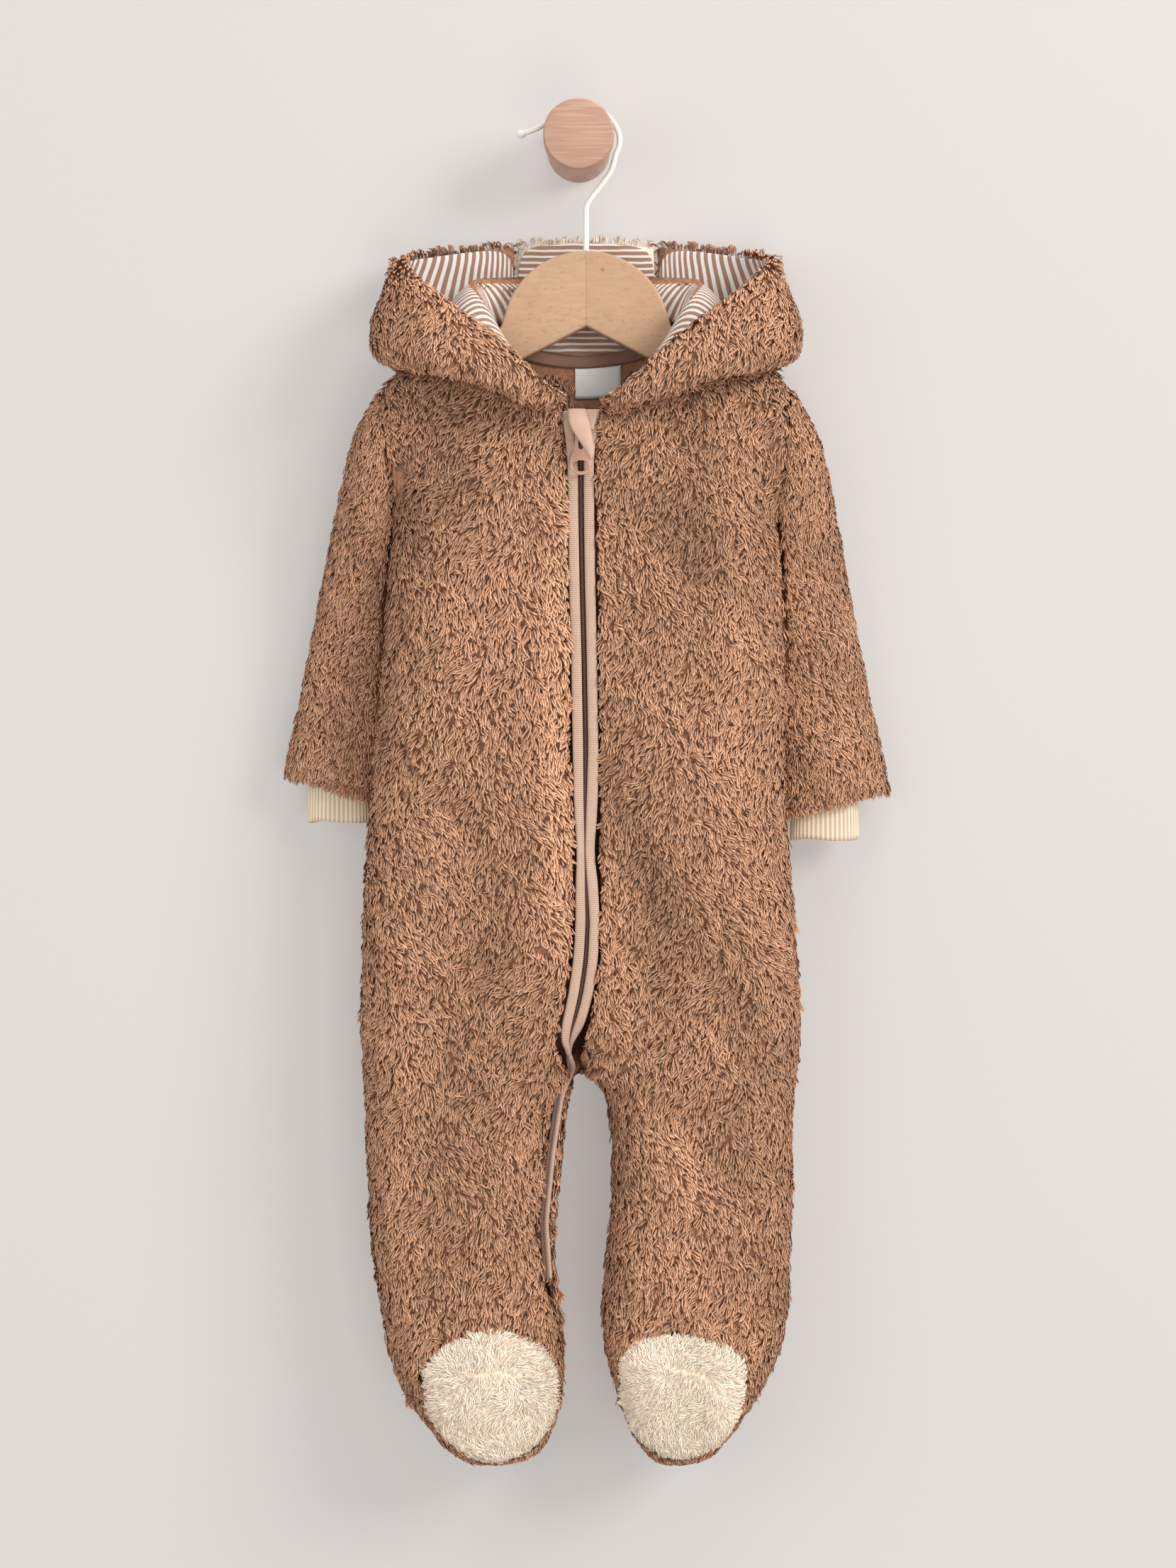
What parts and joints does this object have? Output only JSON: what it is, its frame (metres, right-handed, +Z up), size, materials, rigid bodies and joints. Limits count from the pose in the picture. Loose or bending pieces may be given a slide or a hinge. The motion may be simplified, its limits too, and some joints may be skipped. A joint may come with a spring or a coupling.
{
  "type": "baby's fleece pramsuit on a hanger and wall peg",
  "caption": "Hooded, footed teddy-fleece baby suit with a curved front zip, cream toe caps and a striped hood lining, hanging from a wooden hanger on a round wall peg.",
  "frame": {"origin": "centre of the peg's flat back face, on the wall", "axes": "+Y into the wall, +Z up, +X to the wearer's left; the suit's front faces -Y"},
  "size_m": [0.361, 0.0992, 0.7963],
  "materials": {
    "brown_fleece": "curly brown teddy fleece",
    "cream_fleece": "curly cream teddy fleece",
    "striped_jersey": "off-white jersey with brown stripes",
    "cream_rib": "cream rib knit",
    "tan_binding": "cross-ribbed tan binding",
    "brown_tape": "dusty brown herringbone tape",
    "white_label": "plain off-white satin",
    "zip_teeth": "dark brown moulded coil",
    "zip_metal": "rose-brown painted metal, satin",
    "beech": "pale beech with short flecks, clear satin lacquer",
    "peg_wood": "pinkish tan turned wood, satin",
    "white_enamel": "white gloss enamel on steel wire"
  },
  "bodies": {
    "suit_hanger_and_peg": {"wall_peg": "peg_wood", "hanger_hook": "white_enamel", "hanger": "beech", "front_right": "brown_fleece", "front_left": "brown_fleece", "back": "brown_fleece", "toe_cap_right": "cream_fleece", "toe_cap_left": "cream_fleece", "sole_right": "brown_fleece", "sole_left": "brown_fleece", "sleeve_right": "brown_fleece", "sleeve_left": "brown_fleece", "cuff_right": "cream_rib", "cuff_left": "cream_rib", "hood_right": "brown_fleece", "hood_left": "brown_fleece", "hood_gusset": "cream_fleece", "hood_lining_right": "striped_jersey", "hood_lining_left": "striped_jersey", "hood_lining_gusset": "striped_jersey", "neck_tape": "brown_tape", "label": "white_label", "binding_right": "tan_binding", "binding_left": "tan_binding", "zip_chain": "zip_teeth", "zip_slider": "zip_metal", "zip_guard": "tan_binding"},
    "pull_tab": {"zip_pull_tab": "zip_metal"}
  },
  "joints": [
    {"name": "pull_tab_swing", "type": "hinge", "parent": "suit_hanger_and_peg", "child": "pull_tab", "pos_m": [0.00137, -0.07732, -0.17409], "axis": [-1, 0, 0], "range_deg": [0, 12]}
  ]
}
